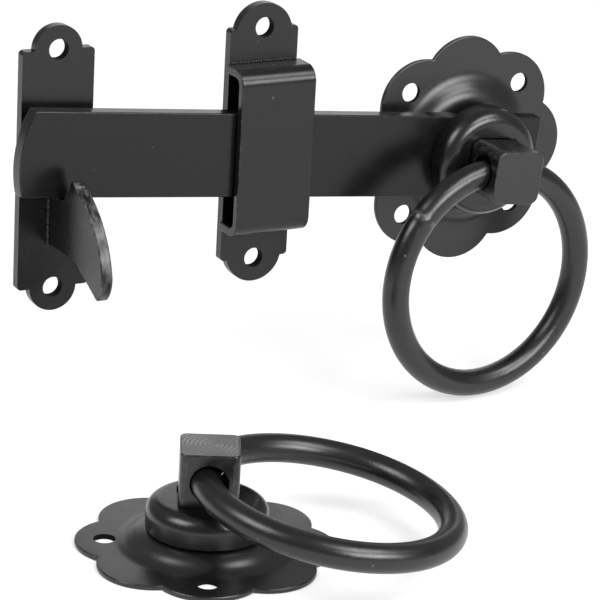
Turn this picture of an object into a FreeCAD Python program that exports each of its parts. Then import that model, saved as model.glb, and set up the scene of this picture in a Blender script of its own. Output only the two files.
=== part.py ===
import FreeCAD, Part
import math
import os
import re
import Sketcher

from FreeCAD import Placement, Rotation, Vector

# Ring gate latch of black coated steel, in four groups that are fixed to a gate and its post:
# the keep with its hook, the staple with its bridge, the latch handle with the bar, and the
# handle for the outside of the gate, which lies on its back below the others.
# The origin is on the gate's face, on the latch spindle. +X runs along the gate away from the
# keep, +Y goes into the gate and +Z is up. Every piece is drawn flat, with the gate's face as
# its XY plane and +Z standing out of the gate, and is then stood up in its place.

SIZES = (
    ("plate_width", 22.0, "width of the keep and staple plates"),
    ("plate_thickness", 3.0, "thickness of the keep and staple plates"),
    ("screw_spacing", 70.0, "distance between a plate's two screw holes"),
    ("screw_hole", 6.0, "diameter of every screw hole"),
    ("shoulder_round", 1.2, "radius of a plate's four outer corners"),
    ("keep_arch_radius", 7.2, "radius of the keep plate's arched ends"),
    ("keep_arch_inset", 0.2, "distance from a keep screw hole in to the arch's centre"),
    ("staple_arch_radius", 9.0, "radius of the staple plate's arched ends"),
    ("staple_arch_inset", 1.8, "distance from a staple screw hole in to the arch's centre"),
    ("keep_offset", 135.5, "spindle to the middle of the keep, along the gate"),
    ("keep_rise", 7.0, "height of the keep's middle above the spindle"),
    ("staple_offset", 70.7, "spindle to the middle of the staple, along the gate"),
    ("staple_rise", 8.5, "height of the staple's middle above the spindle"),
    ("hook_thickness", 3.5, "thickness of the hook's steel"),
    ("hook_toe_drop", 28.4, "the keep's middle down to the hook's toe"),
    ("hook_root_rise", 6.2, "toe up to the lower end of the weld on the plate"),
    ("hook_knee_rise", 6.8, "toe up to the bend in the hook's lower edge"),
    ("hook_knee_reach", 18.0, "plate face out to that bend"),
    ("hook_toe_reach", 32.8, "plate face out to the toe"),
    ("hook_toe_radius", 9.0, "radius of the rounding above the toe"),
    ("hook_reach", 36.0, "plate face out to the hook's front"),
    ("hook_front_rise", 7.4, "toe up to the hook's foremost point"),
    ("hook_ramp_radius", 29.0, "radius of the ramp that lifts the bar"),
    ("hook_nose_rise", 28.2, "toe up to the front of the nose"),
    ("hook_nose_reach", 17.6, "plate face out to the front of the nose"),
    ("hook_nose_width", 4.8, "front of the nose back to its inner edge"),
    ("hook_nose_step", 1.2, "front of the nose down to its inner edge"),
    ("hook_nose_radius", 2.6, "radius of the nose's tip"),
    ("notch_front_gap", 0.9, "room between the bar and the hook's notch"),
    ("bar_seat_gap", 0.3, "room between the bar's underside and the floor of the notch"),
    ("bridge_width", 24.0, "width of the bridge's strip"),
    ("bridge_strip", 2.5, "thickness of the bridge's strip"),
    ("bridge_bend", 2.2, "inside radius of the bridge's bends"),
    ("bridge_opening", 45.0, "clear height inside the bridge"),
    ("bridge_run_gap", 0.5, "room between the bar and the bridge"),
    ("lobe_count", 8.0, "lobes of a rose"),
    ("lobe_radius", 14.2, "radius of each lobe"),
    ("lobe_circle", 20.8, "rose's centre to each lobe's centre"),
    ("rose_thickness", 1.5, "thickness of a rose's sheet"),
    ("rose_screw_circle", 54.0, "diameter of the circle of a rose's screw holes"),
    ("rose_screw_count", 4.0, "screw holes of a rose"),
    ("dome_rise", 4.0, "height of the dome above the rose's rim"),
    ("dome_foot", 25.0, "radius where the dome starts"),
    ("dome_crown", 15.0, "radius of the dome's flat top"),
    ("run_gap", 0.3, "room between faces that turn on each other"),
    ("bar_height", 25.0, "height of the bar"),
    ("bar_thickness", 5.0, "thickness of the bar"),
    ("bar_past_keep_top", 11.8, "middle of the keep on to the tip's upper corner"),
    ("bar_past_keep_bottom", 13.3, "middle of the keep on to the tip's lower corner"),
    ("bar_tip_radius", 36.0, "radius of the bar's tip"),
    ("bar_tail", 21.0, "spindle to the bar's square end"),
    ("bar_rest_angle", 5.7, "slope of the bar as it lies in the keep, in degrees"),
    ("collar_radius", 16.5, "radius of a collar"),
    ("collar_height", 8.5, "height of a collar"),
    ("collar_shoulder", 4.2, "radius of a collar's rounded shoulder"),
    ("collar_recess", 1.0, "depth of the square recess that a block's head sits in"),
    ("block_side", 16.0, "side of a block's square head"),
    ("block_length", 16.0, "length of a block's head"),
    ("block_round", 2.0, "radius of a head's long edges"),
    ("ring_hole", 10.5, "diameter of the hole that the ring runs in"),
    ("neck_side", 14.0, "side of a block's square neck and diameter of its tail"),
    ("fit_gap", 0.1, "room round the neck and the tail in the pieces that turn with them"),
    ("spindle_clearance", 0.1, "room round the tail in the rose"),
    ("spindle_side", 8.0, "side of the square socket for the loose spindle"),
    ("socket_depth", 10.0, "depth of that socket"),
    ("washer_radius", 10.5, "radius of a retaining washer"),
    ("washer_thickness", 1.5, "thickness of a retaining washer"),
    ("swage_overhang", 1.2, "how far the swaged end stands over its washer"),
    ("swage_thickness", 1.0, "thickness of the swaged end"),
    ("ring_diameter", 75.0, "outside diameter of a ring"),
    ("ring_wire", 8.0, "diameter of a ring's rod"),
    ("ring_seat_gap", 0.3, "room between the ring and the edge of its hole"),
    ("latch_ring_twist_angle", 5.1, "how far the hanging ring twists in the slack of its hole, in degrees"),
    ("outside_ring_lean_angle", 6.5, "how far the outside ring leans in the slack of its hole, in degrees"),
    ("outside_ring_dip_angle", 9.5, "slope of the outside ring below level, in degrees"),
    ("outside_offset", 131.5, "spindle to the outside handle, along the gate"),
    ("outside_stand", 96.3, "gate's face out to the outside handle"),
    ("outside_drop", 71.0, "spindle down to the back of the outside rose"),
    ("outside_turn_angle", 63.7, "heading of the outside block's ring hole, in degrees"),
    ("outside_rose_angle", 19.0, "heading of the outside rose's screw holes, in degrees"),
)

# Places that follow from the sizes above, each worked out once in the sheet.
PLACES = (
    ("dome_top", "rose_thickness + dome_rise"),
    ("bar_back", "dome_top + run_gap"),
    ("bar_front", "bar_back + bar_thickness"),
    ("bridge_inside", "bar_front + bridge_run_gap"),
    ("bridge_outside", "bridge_inside + bridge_strip"),
    ("bar_reach_top", "keep_offset + bar_past_keep_top"),
    ("bar_reach_bottom", "keep_offset + bar_past_keep_bottom"),
    ("hook_right", "keep_offset - hook_thickness / 2"),
    ("bar_underside", "hook_right * tan(bar_rest_angle) - bar_height / 2 / cos(bar_rest_angle)"),
    ("notch_floor", "bar_underside - bar_seat_gap - keep_rise + hook_toe_drop"),
    ("notch_reach", "bar_front - plate_thickness + notch_front_gap"),
    ("tail_end", "dome_top - rose_thickness - run_gap - washer_thickness - swage_thickness"),
    ("ring_radius", "(ring_diameter - ring_wire) / 2"),
    ("ring_sag", "ring_radius - sqrt(ring_radius ^ 2 - block_side ^ 2 / 4)"),
    ("ring_slack", "(ring_hole - ring_wire) / 2 - ring_seat_gap"),
    ("latch_ring_stray", "block_side / 2 * tan(latch_ring_twist_angle)"),
    ("latch_ring_hang", "ring_radius - ring_sag + sqrt(ring_slack ^ 2 - latch_ring_stray ^ 2)"),
    ("outside_ring_tip", "block_side / 2 * tan(outside_ring_lean_angle)"),
    ("outside_ring_hang", "ring_radius - ring_sag - outside_ring_tip + ring_slack"),
    ("latch_head", "bar_front + collar_height - collar_recess"),
    ("outside_head", "bar_back + collar_height - collar_recess"),
)

doc = FreeCAD.newDocument("ring_gate_latch")
sheet = doc.addObject("Spreadsheet::Sheet", "Sizes")


def fill_sheet():
    """Write the driving sizes and the places that follow from them, each under its alias."""
    for row, (alias, size, note) in enumerate(SIZES, start=1):
        sheet.set(f"A{row}", note)
        sheet.set(f"B{row}", str(size))
        sheet.setAlias(f"B{row}", alias)
    for row, (alias, formula) in enumerate(PLACES, start=len(SIZES) + 1):
        sheet.set(f"A{row}", alias.replace("_", " "))
        sheet.set(f"B{row}", f"={formula}")
        sheet.setAlias(f"B{row}", alias)
    doc.recompute()


def bound(formula):
    """Return a formula of sheet aliases with each alias tied to the sheet."""
    aliases = {alias for alias, *_ in SIZES + PLACES}
    return re.sub(r"[a-z_]+", lambda word: f"Sizes.{word[0]}" if word[0] in aliases else word[0], formula)


def amount(formula):
    """Return what a formula of sheet aliases comes to, as a plain number."""
    return float(sheet.evalExpression(bound(formula)))


def new_body(label):
    """Start a sub-part."""
    body = doc.addObject("PartDesign::Body", label)
    body.Label = label
    return body


def new_sketch(body, role, name, **offsets):
    """Start a sketch on one of the body's own origin planes, moved off it by bound offsets."""
    sketch = body.newObject("Sketcher::SketchObject", name)
    plane = next(feature for feature in body.Origin.OriginFeatures if feature.Role == role)
    sketch.AttachmentSupport = [(plane, "")]
    sketch.MapMode = "FlatFace"
    for axis, formula in offsets.items():
        sketch.setExpression(f"AttachmentOffset.Base.{axis}", bound(formula))
    return sketch


def bind(sketch, kind, elements, formula):
    """Add a dimension to a sketch and tie it to a formula."""
    index = sketch.addConstraint(Sketcher.Constraint(kind, *elements, amount(formula)))
    sketch.setExpression(f"Constraints[{index}]", bound(formula))


def pin(sketch, geometry, point, x, y):
    """Hold a point of a sketch at bound coordinates."""
    for kind, axis, formula in (("DistanceX", -2, x), ("DistanceY", -1, y)):
        if formula == "0":
            sketch.addConstraint(Sketcher.Constraint("PointOnObject", geometry, point, axis))
        elif amount(formula) < 0:
            bind(sketch, kind, (geometry, point, -1, 1), f"-1 * ( {formula} )")
        else:
            bind(sketch, kind, (-1, 1, geometry, point), formula)


def draw_circle(sketch, x, y, radius):
    """Draw a circle with a bound centre and radius."""
    circle = Part.Circle(Vector(amount(x), amount(y), 0), Vector(0, 0, 1), amount(radius))
    geometry = sketch.addGeometry(circle)
    pin(sketch, geometry, 3, x, y)
    bind(sketch, "Radius", (geometry,), radius)


def arc_between(start, end, radius):
    """Return the shorter arc from start to end, swelling to the right for a positive radius."""
    chord = end - start
    right = Vector(chord.y, -chord.x, 0).normalize() * math.copysign(1, radius)
    depth = math.sqrt(radius**2 - chord.Length**2 / 4)
    centre = (start + end) / 2 - right * depth
    first, last = (start, end) if radius > 0 else (end, start)
    angles = [math.atan2(spot.y - centre.y, spot.x - centre.x) for spot in (first, last)]
    circle = Part.Circle(centre, Vector(0, 0, 1), abs(radius))
    return Part.ArcOfCircle(circle, angles[0], angles[1])


def draw_outline(sketch, corners):
    """Draw a closed outline of lines and arcs.

    Each corner is (x, y), or (x, y, radius, side) where the edge that leaves it is an arc that
    swells to the right (side 1) or left (side -1) of the way along the outline.
    """
    spots = [Vector(amount(corner[0]), amount(corner[1]), 0) for corner in corners]
    ends = []
    for corner, start, end in zip(corners, spots, spots[1:] + spots[:1]):
        if len(corner) == 2:
            geometry = sketch.addGeometry(Part.LineSegment(start, end))
            ends.append((geometry, 1, 2))
            continue
        radius, side = corner[2:]
        geometry = sketch.addGeometry(arc_between(start, end, side * amount(radius)))
        ends.append((geometry, 1, 2) if side > 0 else (geometry, 2, 1))
    for corner, here, before in zip(corners, ends, ends[-1:] + ends[:-1]):
        pin(sketch, here[0], here[1], corner[0], corner[1])
        sketch.addConstraint(Sketcher.Constraint("Coincident", before[0], before[2], here[0], here[1]))
        if len(corner) > 2:
            bind(sketch, "Radius", (here[0],), corner[2])


def draw_rectangle(sketch, width, height):
    """Draw a rectangle about the sketch's origin."""
    half_x, half_y = f"{width} / 2", f"{height} / 2"
    left, low = f"-1 * {half_x}", f"-1 * {half_y}"
    draw_outline(sketch, [(left, low), (half_x, low), (half_x, half_y), (left, half_y)])


def pad(body, sketch, length, both_ways=False):
    """Raise a sketch by a bound length, or half of it each way."""
    feature = body.newObject("PartDesign::Pad", f"{sketch.Name}_pad")
    feature.Profile = sketch
    feature.SideType = "Symmetric" if both_ways else "One side"
    feature.setExpression("Length", bound(length))
    return finish(body, feature)


def pocket(body, sketch, length=None):
    """Cut a sketch up through the body, to a bound length or all the way."""
    volume = body.Shape.Volume
    feature = body.newObject("PartDesign::Pocket", f"{sketch.Name}_pocket")
    feature.Profile = sketch
    if length is None:
        feature.Type = "ThroughAll"
        feature.SideType = "Symmetric"
    else:
        feature.Reversed = True
        feature.setExpression("Length", bound(length))
    finish(body, feature)
    require(body.Shape.Volume < volume, f"{feature.Name} cuts nothing")
    return feature


def revolve(body, sketch, kind="Revolution"):
    """Turn a sketch about its vertical axis to add material, or to cut it with a groove."""
    volume = body.Shape.Volume if body.Tip else 0
    feature = body.newObject(f"PartDesign::{kind}", f"{sketch.Name}_turned")
    feature.Profile = sketch
    feature.ReferenceAxis = (sketch, ["V_Axis"])
    feature.Angle = 360
    finish(body, feature)
    grown = body.Shape.Volume > volume
    require(grown == (kind == "Revolution"), f"{feature.Name} went the wrong way")
    return feature


def repeat_round(body, feature, sketch, count):
    """Repeat a feature evenly round the axis of its sketch."""
    pattern = body.newObject("PartDesign::PolarPattern", f"{feature.Name}_ring")
    pattern.Originals = [feature]
    pattern.Axis = (sketch, ["N_Axis"])
    pattern.Angle = 360
    pattern.setExpression("Occurrences", bound(count))
    return finish(body, pattern)


def round_edges(body, radius, chosen):
    """Round the edges of the body whose middle and direction pass a test."""
    base, edges = body.Tip, []
    for number, edge in enumerate(body.Shape.Edges, start=1):
        direction = edge.tangentAt(edge.FirstParameter)
        if edge.Curve.TypeId == "Part::GeomLine" and chosen(edge.CenterOfMass, direction):
            edges.append(f"Edge{number}")
    feature = body.newObject("PartDesign::Fillet", f"{body.Name}_round")
    feature.Base = (base, edges)
    feature.setExpression("Radius", bound(radius))
    return finish(body, feature)


def finish(body, feature):
    """Make a feature the body's tip and work it out."""
    body.Tip = feature
    doc.recompute()
    return feature


def require(passed, message):
    """Stop when something about the model isn't so."""
    if not passed:
        raise RuntimeError(message)


def make_plate(label, arch_radius, arch_inset):
    """A screw plate: square shoulders level with its screw holes, and an arch over each hole."""
    body = new_body(label)
    shoulders = new_sketch(body, "XY_Plane", f"{label}_shoulders")
    draw_rectangle(shoulders, "plate_width", "screw_spacing")
    pad(body, shoulders, "plate_thickness")
    round_edges(body, "shoulder_round", lambda middle, way: abs(way.z) > 0.9)
    arches = new_sketch(body, "XY_Plane", f"{label}_arches")
    holes = new_sketch(body, "XY_Plane", f"{label}_holes")
    for end in (1, -1):
        draw_circle(arches, "0", f"{end} * ( screw_spacing / 2 - {arch_inset} )", arch_radius)
        draw_circle(holes, "0", f"{end} * screw_spacing / 2", "screw_hole / 2")
    pad(body, arches, "plate_thickness")
    pocket(body, holes)
    return body


def make_hook():
    """The keep's hook, drawn from the side: up is along the sketch's X and out along its Y."""
    body = new_body("keep_hook")
    profile = new_sketch(body, "YZ_Plane", "hook_profile", x="-1 * hook_toe_drop", y="plate_thickness")
    draw_outline(profile, [
        ("notch_floor", "0"),
        ("hook_root_rise", "0"),
        ("hook_knee_rise", "hook_knee_reach"),
        ("0", "hook_toe_reach", "hook_toe_radius", -1),
        ("hook_front_rise", "hook_reach", "hook_ramp_radius", -1),
        ("hook_nose_rise", "hook_nose_reach", "hook_nose_radius", -1),
        ("hook_nose_rise - hook_nose_step", "hook_nose_reach - hook_nose_width"),
        ("notch_floor", "notch_reach"),
    ])
    pad(body, profile, "hook_thickness", both_ways=True)
    return body


def make_bridge():
    """The staple's bridge: one strip folded into a square arch over the bar."""
    body = new_body("staple_bridge")
    outside = "( bridge_opening / 2 + bridge_strip )"
    inside = "bridge_opening / 2"
    strip = new_sketch(body, "YZ_Plane", "bridge_profile")
    draw_outline(strip, [
        (f"-1 * {outside}", "plate_thickness"),
        (f"-1 * {inside}", "plate_thickness"),
        (f"-1 * {inside}", "bridge_inside"),
        (inside, "bridge_inside"),
        (inside, "plate_thickness"),
        (outside, "plate_thickness"),
        (outside, "bridge_outside"),
        (f"-1 * {outside}", "bridge_outside"),
    ])
    pad(body, strip, "bridge_width", both_ways=True)
    for radius, height in (("bridge_bend", "bridge_inside"), ("bridge_bend + bridge_strip", "bridge_outside")):
        level = amount(height)
        round_edges(body, radius, lambda middle, way: abs(way.x) > 0.9 and abs(middle.z - level) < 0.01)
    return body


def draw_dome(sketch, drop):
    """Draw the half section under the dome's skin, let down by a formula, as two tangent arcs."""
    run = "( dome_foot - dome_crown )"
    sweep = f"( {run} ^ 2 + dome_rise ^ 2 ) / ( 4 * dome_rise )"
    draw_outline(sketch, [
        ("0", f"-1 * ( {drop} )"),
        ("dome_foot", f"-1 * ( {drop} )"),
        ("dome_foot", f"rose_thickness - {drop}", sweep, -1),
        ("( dome_foot + dome_crown ) / 2", f"rose_thickness + dome_rise / 2 - {drop}", sweep, 1),
        ("dome_crown", f"dome_top - {drop}"),
        ("0", f"dome_top - {drop}"),
    ])


def make_rose(label):
    """A rose: a lobed sheet pressed into a dome, pierced for the spindle and the screws."""
    body = new_body(label)
    middle = new_sketch(body, "XY_Plane", f"{label}_middle")
    draw_circle(middle, "0", "0", "lobe_circle")
    pad(body, middle, "rose_thickness")
    lobe = new_sketch(body, "XY_Plane", f"{label}_lobe")
    draw_circle(lobe, "lobe_circle", "0", "lobe_radius")
    repeat_round(body, pad(body, lobe, "rose_thickness"), lobe, "lobe_count")
    dome = new_sketch(body, "XZ_Plane", f"{label}_dome")
    draw_dome(dome, "0")
    revolve(body, dome)
    hollow = new_sketch(body, "XZ_Plane", f"{label}_hollow")
    draw_dome(hollow, "rose_thickness")
    revolve(body, hollow, "Groove")
    spindle = new_sketch(body, "XY_Plane", f"{label}_spindle")
    draw_circle(spindle, "0", "0", "neck_side / 2 + spindle_clearance")
    pocket(body, spindle)
    screw = new_sketch(body, "XY_Plane", f"{label}_screw")
    diagonal = "rose_screw_circle / 2 * cos(45)"
    draw_circle(screw, diagonal, diagonal, "screw_hole / 2")
    repeat_round(body, pocket(body, screw), screw, "rose_screw_count")
    return body


def make_bar():
    """The bar: flat, square at the handle's end, rounded at its tip, with a square hole for the neck."""
    body = new_body("latch_bar")
    half = "bar_height / 2"
    blank = new_sketch(body, "XY_Plane", "bar_blank", z="bar_back")
    draw_outline(blank, [
        ("-1 * bar_reach_bottom", f"-1 * {half}"),
        ("bar_tail", f"-1 * {half}"),
        ("bar_tail", half),
        ("-1 * bar_reach_top", half, "bar_tip_radius", 1),
    ])
    pad(body, blank, "bar_thickness")
    hole = new_sketch(body, "XY_Plane", "bar_hole")
    draw_rectangle(hole, "( neck_side + 2 * fit_gap )", "( neck_side + 2 * fit_gap )")
    pocket(body, hole)
    return body


def make_collar(label, base):
    """A collar: a turned boss with a rounded shoulder and a square way through for the block."""
    body = new_body(label)
    section = new_sketch(body, "XZ_Plane", f"{label}_section", y=base)
    draw_outline(section, [
        ("0", "0"),
        ("collar_radius", "0"),
        ("collar_radius", "collar_height - collar_shoulder", "collar_shoulder", 1),
        ("collar_radius - collar_shoulder", "collar_height"),
        ("0", "collar_height"),
    ])
    revolve(body, section)
    for name, side, start in (("neck_way", "neck_side", base),
                              ("recess", "block_side", f"{base} + collar_height - collar_recess")):
        way = new_sketch(body, "XY_Plane", f"{label}_{name}", z=start)
        draw_rectangle(way, f"( {side} + 2 * fit_gap )", f"( {side} + 2 * fit_gap )")
        pocket(body, way, "collar_height")
    return body


def make_block(label, head):
    """A block: square head with the ring's hole, square neck, round tail swaged over its washer."""
    body = new_body(label)
    top = new_sketch(body, "XY_Plane", f"{label}_head", z=head)
    draw_rectangle(top, "block_side", "block_side")
    pad(body, top, "block_length")
    round_edges(body, "block_round", lambda middle, way: abs(way.z) > 0.9)
    neck = new_sketch(body, "XY_Plane", f"{label}_neck", z="bar_back")
    draw_rectangle(neck, "neck_side", "neck_side")
    pad(body, neck, f"{head} - bar_back")
    tail = new_sketch(body, "XY_Plane", f"{label}_tail", z="tail_end")
    draw_circle(tail, "0", "0", "neck_side / 2")
    pad(body, tail, "bar_back - tail_end")
    swage = new_sketch(body, "XY_Plane", f"{label}_swage", z="tail_end")
    draw_circle(swage, "0", "0", "neck_side / 2 + swage_overhang")
    pad(body, swage, "swage_thickness")
    eye = new_sketch(body, "YZ_Plane", f"{label}_eye", y=f"{head} + block_length / 2")
    draw_circle(eye, "0", "0", "ring_hole / 2")
    pocket(body, eye)
    socket = new_sketch(body, "XY_Plane", f"{label}_socket", z="tail_end")
    draw_rectangle(socket, "spindle_side", "spindle_side")
    pocket(body, socket, "socket_depth")
    return body


def make_washer(label):
    """A retaining washer, held on the tail by the swaged end."""
    body = new_body(label)
    flat = new_sketch(body, "XY_Plane", f"{label}_flat", z="tail_end + swage_thickness")
    draw_circle(flat, "0", "0", "washer_radius")
    draw_circle(flat, "0", "0", "neck_side / 2 + fit_gap")
    pad(body, flat, "washer_thickness")
    return body


def make_ring(label):
    """A plain ring of round rod."""
    ring = doc.addObject("Part::Torus", label)
    ring.Label = label
    ring.setExpression("Radius1", bound("ring_radius"))
    ring.setExpression("Radius2", bound("ring_wire / 2"))
    return ring


def ring_in_hole(head, hang, turn):
    """Where a ring hangs from the hole in its block, turned in the hole's slack."""
    hole = Placement(Vector(0, 0, amount(f"{head} + block_length / 2")), turn)
    return hole * Placement(Vector(0, -amount(hang), 0), Rotation())


def place_pieces(pieces):
    """Stand the gate's pieces against its face, and lay the outside handle on its back."""
    upright = Rotation(Vector(1, 0, 0), 90)
    for group in ("keep", "staple"):
        spot = Vector(-amount(f"{group}_offset"), 0, amount(f"{group}_rise"))
        for piece in pieces[group]:
            piece.Placement = Placement(spot, upright)
    on_gate = Placement(Vector(), upright)
    pieces["latch_rose"].Placement = on_gate
    lifted = Placement(Vector(), Rotation(Vector(0, 1, 0), amount("bar_rest_angle"))) * on_gate
    for piece in pieces["latch"]:
        piece.Placement = lifted
    twist = Rotation(Vector(0, 1, 0), amount("latch_ring_twist_angle"))
    pieces["latch_ring"].Placement = lifted * ring_in_hole("latch_head", "latch_ring_hang", twist)
    spot = Vector(-amount("outside_offset"), -amount("outside_stand"), -amount("outside_drop"))
    pieces["outside_rose"].Placement = Placement(spot, Rotation(Vector(0, 0, 1), amount("outside_rose_angle")))
    lying = Placement(spot, Rotation(Vector(0, 0, 1), amount("outside_turn_angle")))
    for piece in pieces["outside"]:
        piece.Placement = lying
    dip = Rotation(Vector(1, 0, 0), amount("outside_ring_dip_angle"))
    lean = Rotation(Vector(0, 0, 1), -amount("outside_ring_lean_angle"))
    pieces["outside_ring"].Placement = lying * ring_in_hole("outside_head", "outside_ring_hang", dip * lean)


def make_pieces():
    """Make every sub-part and put it in its place."""
    pieces = {
        "keep": [make_plate("keep_plate", "keep_arch_radius", "keep_arch_inset"), make_hook()],
        "staple": [make_plate("staple_plate", "staple_arch_radius", "staple_arch_inset"), make_bridge()],
        "latch_rose": make_rose("latch_rose"),
        "latch": [
            make_bar(),
            make_collar("latch_collar", "bar_front"),
            make_block("latch_block", "latch_head"),
            make_washer("latch_washer"),
        ],
        "latch_ring": make_ring("latch_ring"),
        "outside_rose": make_rose("outside_rose"),
        "outside": [
            make_collar("outside_collar", "bar_back"),
            make_block("outside_block", "outside_head"),
            make_washer("outside_washer"),
        ],
        "outside_ring": make_ring("outside_ring"),
    }
    place_pieces(pieces)
    doc.recompute()
    flat = []
    for entry in pieces.values():
        flat.extend(entry if isinstance(entry, list) else [entry])
    return flat


def write_parts(pieces):
    """Check the whole document, then write each sub-part to its own file."""
    for item in doc.Objects:
        bad = {"Invalid", "Error"}.intersection(item.State)
        require(not bad, f"{item.Name} is {bad}")
    for piece in pieces:
        shape = piece.Shape
        require(not shape.isNull() and shape.isValid(), f"{piece.Label} has no valid shape")
        require(len(shape.Solids) == 1, f"{piece.Label} isn't one solid")
    os.makedirs("parts", exist_ok=True)
    for piece in pieces:
        piece.Shape.exportStep(f"parts/{piece.Label}.step")
        print(f"{piece.Label}: {piece.Shape.Volume:.0f} mm3")


fill_sheet()
write_parts(make_pieces())
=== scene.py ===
import logging
import math
from dataclasses import dataclass
from enum import Enum
from typing import Callable, Iterable, Optional, Sequence

import bmesh
import bpy
from mathutils import Matrix, Vector


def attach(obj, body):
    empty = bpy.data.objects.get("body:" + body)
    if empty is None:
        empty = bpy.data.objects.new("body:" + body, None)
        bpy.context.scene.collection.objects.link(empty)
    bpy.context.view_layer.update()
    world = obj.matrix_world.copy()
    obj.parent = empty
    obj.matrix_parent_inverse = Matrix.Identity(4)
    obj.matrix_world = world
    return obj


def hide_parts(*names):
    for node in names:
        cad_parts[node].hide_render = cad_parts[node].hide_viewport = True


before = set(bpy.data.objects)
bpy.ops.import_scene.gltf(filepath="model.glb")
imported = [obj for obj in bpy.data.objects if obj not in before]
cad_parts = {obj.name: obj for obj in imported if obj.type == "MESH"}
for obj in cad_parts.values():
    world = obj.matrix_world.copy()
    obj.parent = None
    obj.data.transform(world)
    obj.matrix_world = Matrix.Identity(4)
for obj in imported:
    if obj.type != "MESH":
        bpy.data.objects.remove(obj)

LOG = logging.getLogger("ring_gate_latch")
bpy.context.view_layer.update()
MM = 0.001
EDGE_LAYER = "edge"
# Points nearer than this are one point, in millimetres.
TOUCHING = 1e-3
# The length of a rod that drills through a piece, in millimetres.
DRILL = 40.0
# Turns a shape that was raised from a side view so that its width runs along X.
ON_ITS_SIDE = Matrix(((0, 0, 1, 0), (1, 0, 0, 0), (0, 1, 0, 0), (0, 0, 0, 1)))

EdgeTest = Callable[[bmesh.types.BMEdge], bool]
FaceTest = Callable[[bmesh.types.BMFace], bool]
Material = bpy.types.Material
Socket = bpy.types.NodeSocket
Inputs = dict[str | int, Socket | float | Sequence[float]]
Pair = tuple[float, float]
Triple = tuple[float, float, float]


def rotation(degrees: float, axis: str) -> Matrix:
    """Give a turn about an axis."""
    return Matrix.Rotation(math.radians(degrees), 4, axis)


# Stands a shape that was drawn flat against the gate's face.
AGAINST_GATE = rotation(90, "X")


class Body(Enum):
    """The rigid bodies of the latch."""

    FIXED = "fixed_plates"
    LATCH = "latch_handle"
    LATCH_PULL = "latch_pull"
    OUTSIDE = "outside_handle"
    OUTSIDE_PULL = "outside_pull"


class Slot(Enum):
    """The finishes that the record names."""

    PLATE = "black_plate"
    BAR = "black_bar"
    HANDLE = "black_handle"
    RING = "black_ring"


class Layer(Enum):
    """The place of a further finish in a piece's list, after its main one."""

    BORE = 1
    END = 2


class Outline:
    """A flat path of straight and round runs, drawn with mesh operators in millimetres."""

    STEP_DEGREES = 4.0
    FEWEST_STEPS = 4

    def __init__(self, x: float, y: float) -> None:
        """Start the path at a point."""
        self.mesh = bmesh.new()
        self.start = self.tip = self.mesh.verts.new((x, y, 0))

    def to(self, x: float, y: float) -> "Outline":
        """Draw a straight run.

        Args:
            x: where the run ends, across.
            y: where the run ends, up.

        Returns:
            The path itself.
        """
        made = bmesh.ops.extrude_vert_indiv(self.mesh, verts=[self.tip])
        self.tip = made["verts"][0]
        self.tip.co = (x, y, 0)
        return self

    def turn(self, x: float, y: float, degrees: float) -> "Outline":
        """Draw a round run.

        Args:
            x: the arc's centre, across.
            y: the arc's centre, up.
            degrees: how far the run turns, counter-clockwise.

        Returns:
            The path itself.
        """
        steps = max(self.FEWEST_STEPS, round(abs(degrees) / self.STEP_DEGREES))
        made = bmesh.ops.spin(
            self.mesh, geom=[self.tip], cent=(x, y, 0), axis=(0, 0, 1), dvec=(0, 0, 0),
            angle=math.radians(degrees), steps=steps, use_merge=False, use_duplicate=False)
        ends = made["geom_last"]
        self.tip = next(item for item in ends if isinstance(item, bmesh.types.BMVert))
        return self

    def arc_to(self, x: float, y: float, radius: float) -> "Outline":
        """Draw the shorter arc to a point.

        Args:
            x: where the arc ends, across.
            y: where the arc ends, up.
            radius: the arc's radius, positive where it swells to the right of the way.

        Returns:
            The path itself.
        """
        start, end = self.tip.co.xy, Vector((x, y))
        chord = end - start
        right = Vector((chord.y, -chord.x)).normalized() * math.copysign(1, radius)
        centre = (start + end) / 2 - right * math.sqrt(radius**2 - chord.length_squared / 4)
        swing = -math.degrees((start - centre).angle_signed(end - centre))
        self.turn(centre.x, centre.y, swing)
        self.tip.co = (x, y, 0)
        return self

    def close(self) -> bmesh.types.BMesh:
        """Close the path.

        Returns:
            The mesh that holds the closed path.
        """
        if (self.tip.co - self.start.co).length > TOUCHING:
            self.mesh.edges.new((self.tip, self.start))
        bmesh.ops.remove_doubles(self.mesh, verts=self.mesh.verts[:], dist=TOUCHING)
        return self.mesh


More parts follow.
